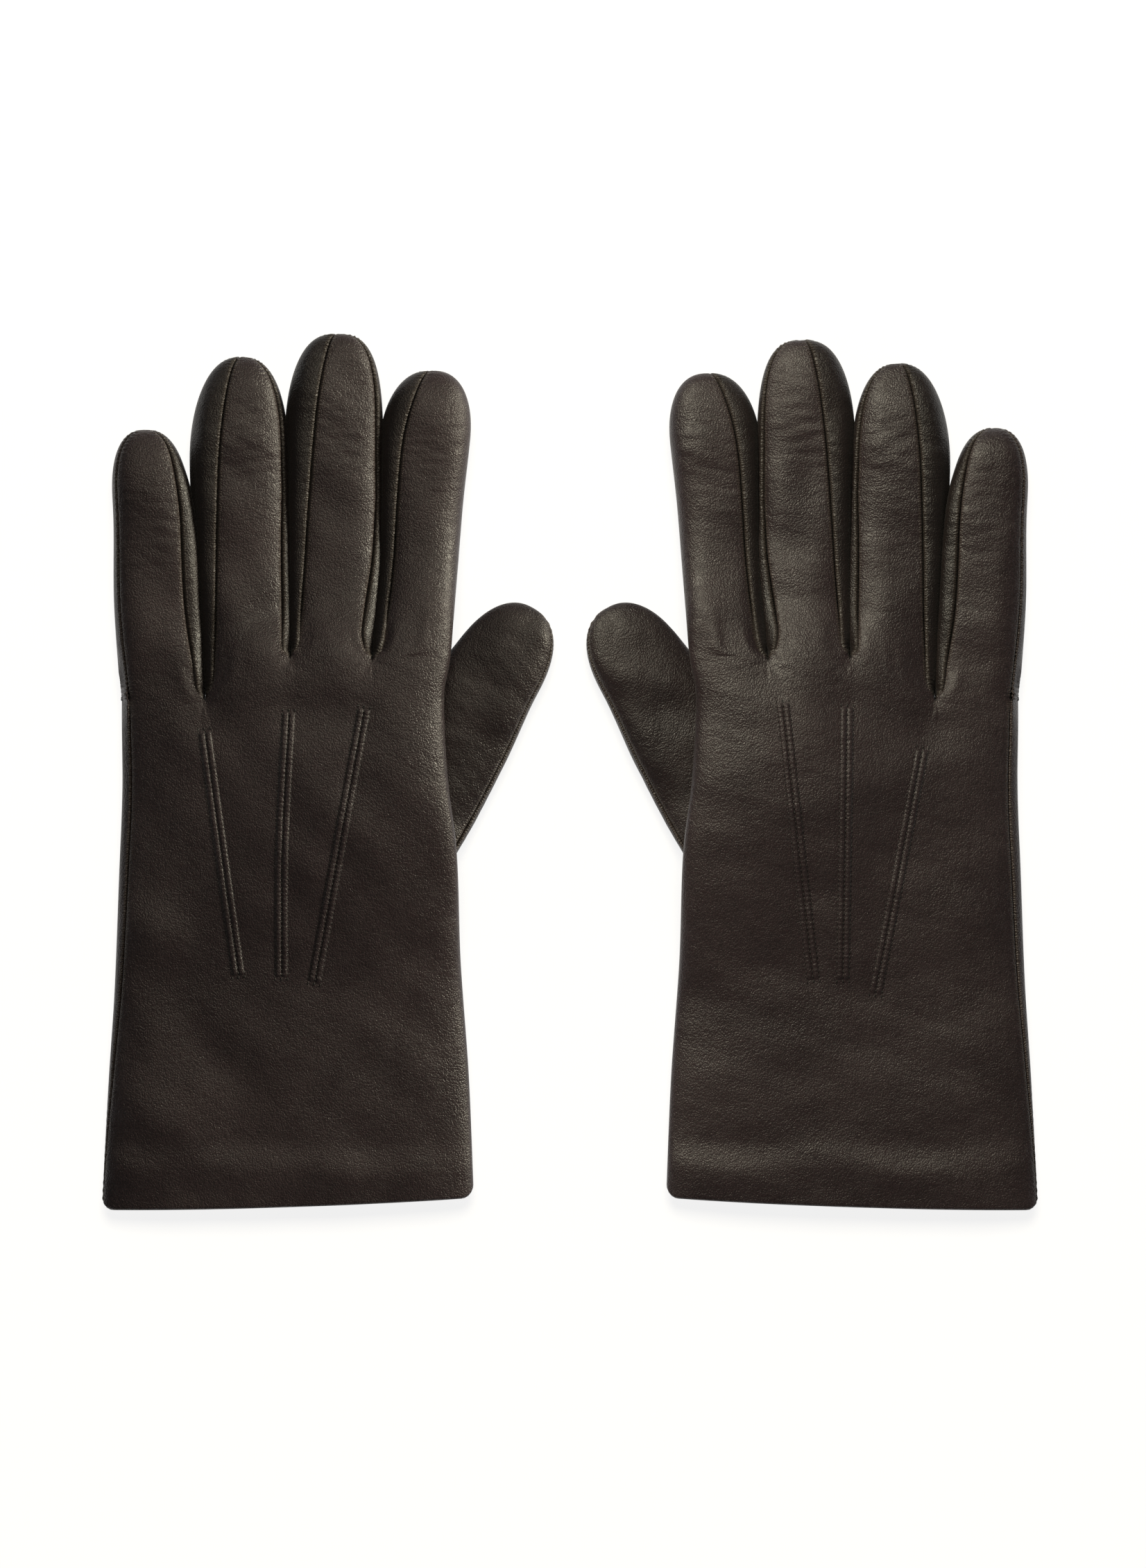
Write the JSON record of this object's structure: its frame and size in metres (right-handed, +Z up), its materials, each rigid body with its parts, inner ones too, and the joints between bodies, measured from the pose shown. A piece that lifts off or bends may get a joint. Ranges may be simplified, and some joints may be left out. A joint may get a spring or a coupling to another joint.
{
  "type": "leather gloves",
  "caption": "Pair of lined leather dress gloves, palms down, with sewn-in side strips between the fingers, three raised tucks on each back and a turned-in cuff.",
  "frame": {"origin": "on the table, under the middle of the pair's box", "axes": "+X to the right across the pair, from the left glove to the right one; +Y towards the fingertips; +Z up, from the palms to the backs"},
  "size_m": [0.2784, 0.2608, 0.0235],
  "materials": {
    "trank_leather": "semi-gloss grained nappa, very dark brown",
    "fourchette_leather": "semi-gloss grained nappa, very dark brown, pulled smooth",
    "thumb_leather": "semi-gloss grained nappa, very dark brown",
    "point_leather": "semi-gloss grained nappa, pinched and stitched",
    "hem_leather": "semi-gloss grained nappa, turned in",
    "lining_knit": "matt brushed knit"
  },
  "bodies": {
    "left_hand": {"left_hand_back": "trank_leather", "left_hand_palm": "trank_leather", "left_cuff_hem": "hem_leather", "left_hand_lining": "lining_knit", "left_point_outer": "point_leather", "left_point_middle": "point_leather", "left_point_inner": "point_leather", "left_thumb_base": "thumb_leather", "left_thumb_base_lining": "lining_knit"},
    "left_thumb": {"left_thumb": "thumb_leather", "left_thumb_lining": "lining_knit"},
    "left_little": {"left_little_back": "trank_leather", "left_little_front": "trank_leather", "left_little_fourchette_thumb_side": "fourchette_leather", "left_little_lining": "lining_knit"},
    "left_ring": {"left_ring_back": "trank_leather", "left_ring_front": "trank_leather", "left_ring_fourchette_thumb_side": "fourchette_leather", "left_ring_fourchette_little_side": "fourchette_leather", "left_ring_lining": "lining_knit"},
    "left_middle": {"left_middle_back": "trank_leather", "left_middle_front": "trank_leather", "left_middle_fourchette_thumb_side": "fourchette_leather", "left_middle_fourchette_little_side": "fourchette_leather", "left_middle_lining": "lining_knit"},
    "left_index": {"left_index_back": "trank_leather", "left_index_front": "trank_leather", "left_index_fourchette_little_side": "fourchette_leather", "left_index_lining": "lining_knit"},
    "right_hand": {"right_hand_back": "trank_leather", "right_hand_palm": "trank_leather", "right_cuff_hem": "hem_leather", "right_hand_lining": "lining_knit", "right_point_outer": "point_leather", "right_point_middle": "point_leather", "right_point_inner": "point_leather", "right_thumb_base": "thumb_leather", "right_thumb_base_lining": "lining_knit"},
    "right_thumb": {"right_thumb": "thumb_leather", "right_thumb_lining": "lining_knit"},
    "right_little": {"right_little_back": "trank_leather", "right_little_front": "trank_leather", "right_little_fourchette_thumb_side": "fourchette_leather", "right_little_lining": "lining_knit"},
    "right_ring": {"right_ring_back": "trank_leather", "right_ring_front": "trank_leather", "right_ring_fourchette_thumb_side": "fourchette_leather", "right_ring_fourchette_little_side": "fourchette_leather", "right_ring_lining": "lining_knit"},
    "right_middle": {"right_middle_back": "trank_leather", "right_middle_front": "trank_leather", "right_middle_fourchette_thumb_side": "fourchette_leather", "right_middle_fourchette_little_side": "fourchette_leather", "right_middle_lining": "lining_knit"},
    "right_index": {"right_index_back": "trank_leather", "right_index_front": "trank_leather", "right_index_fourchette_little_side": "fourchette_leather", "right_index_lining": "lining_knit"}
  },
  "joints": [
    {"name": "left_little_flex", "type": "hinge", "parent": "left_hand", "child": "left_little", "pos_m": [-0.1209, 0.0215, 0.0006], "axis": [-1, 0, 0], "range_deg": [-7, 75], "stiffness_Nm_per_rad": 0.02},
    {"name": "left_ring_flex", "type": "hinge", "parent": "left_hand", "child": "left_ring", "pos_m": [-0.0955, 0.028, 0.002], "axis": [-1, 0, 0], "range_deg": [-7, 75], "stiffness_Nm_per_rad": 0.02},
    {"name": "left_middle_flex", "type": "hinge", "parent": "left_hand", "child": "left_middle", "pos_m": [-0.0707, 0.034, 0.0042], "axis": [-1, 0, 0], "range_deg": [-7, 75], "stiffness_Nm_per_rad": 0.02},
    {"name": "left_index_flex", "type": "hinge", "parent": "left_hand", "child": "left_index", "pos_m": [-0.0471, 0.0344, 0.009], "axis": [-1, 0, 0], "range_deg": [-7, 75], "stiffness_Nm_per_rad": 0.02},
    {"name": "left_thumb_swing", "type": "hinge", "parent": "left_hand", "child": "left_thumb", "pos_m": [-0.03857, 0.00484, 0.0006], "axis": [-0.8387, 0.5446, 0], "range_deg": [0, 50], "stiffness_Nm_per_rad": 0.02},
    {"name": "right_little_flex", "type": "hinge", "parent": "right_hand", "child": "right_little", "pos_m": [0.1209, 0.0215, 0.0006], "axis": [-1, 0, 0], "range_deg": [-7, 75], "stiffness_Nm_per_rad": 0.02},
    {"name": "right_ring_flex", "type": "hinge", "parent": "right_hand", "child": "right_ring", "pos_m": [0.0955, 0.028, 0.002], "axis": [-1, 0, 0], "range_deg": [-7, 75], "stiffness_Nm_per_rad": 0.02},
    {"name": "right_middle_flex", "type": "hinge", "parent": "right_hand", "child": "right_middle", "pos_m": [0.0707, 0.034, 0.0042], "axis": [-1, 0, 0], "range_deg": [-7, 75], "stiffness_Nm_per_rad": 0.02},
    {"name": "right_index_flex", "type": "hinge", "parent": "right_hand", "child": "right_index", "pos_m": [0.0471, 0.0344, 0.009], "axis": [-1, 0, 0], "range_deg": [-7, 75], "stiffness_Nm_per_rad": 0.02},
    {"name": "right_thumb_swing", "type": "hinge", "parent": "right_hand", "child": "right_thumb", "pos_m": [0.03857, 0.00484, 0.0006], "axis": [-0.8387, -0.5446, 0], "range_deg": [0, 50], "stiffness_Nm_per_rad": 0.02},
    {"name": "pair_parting", "type": "slide", "parent": "left_hand", "child": "right_hand", "axis": [1, 0, 0], "range_m": [0, 0.1]}
  ]
}
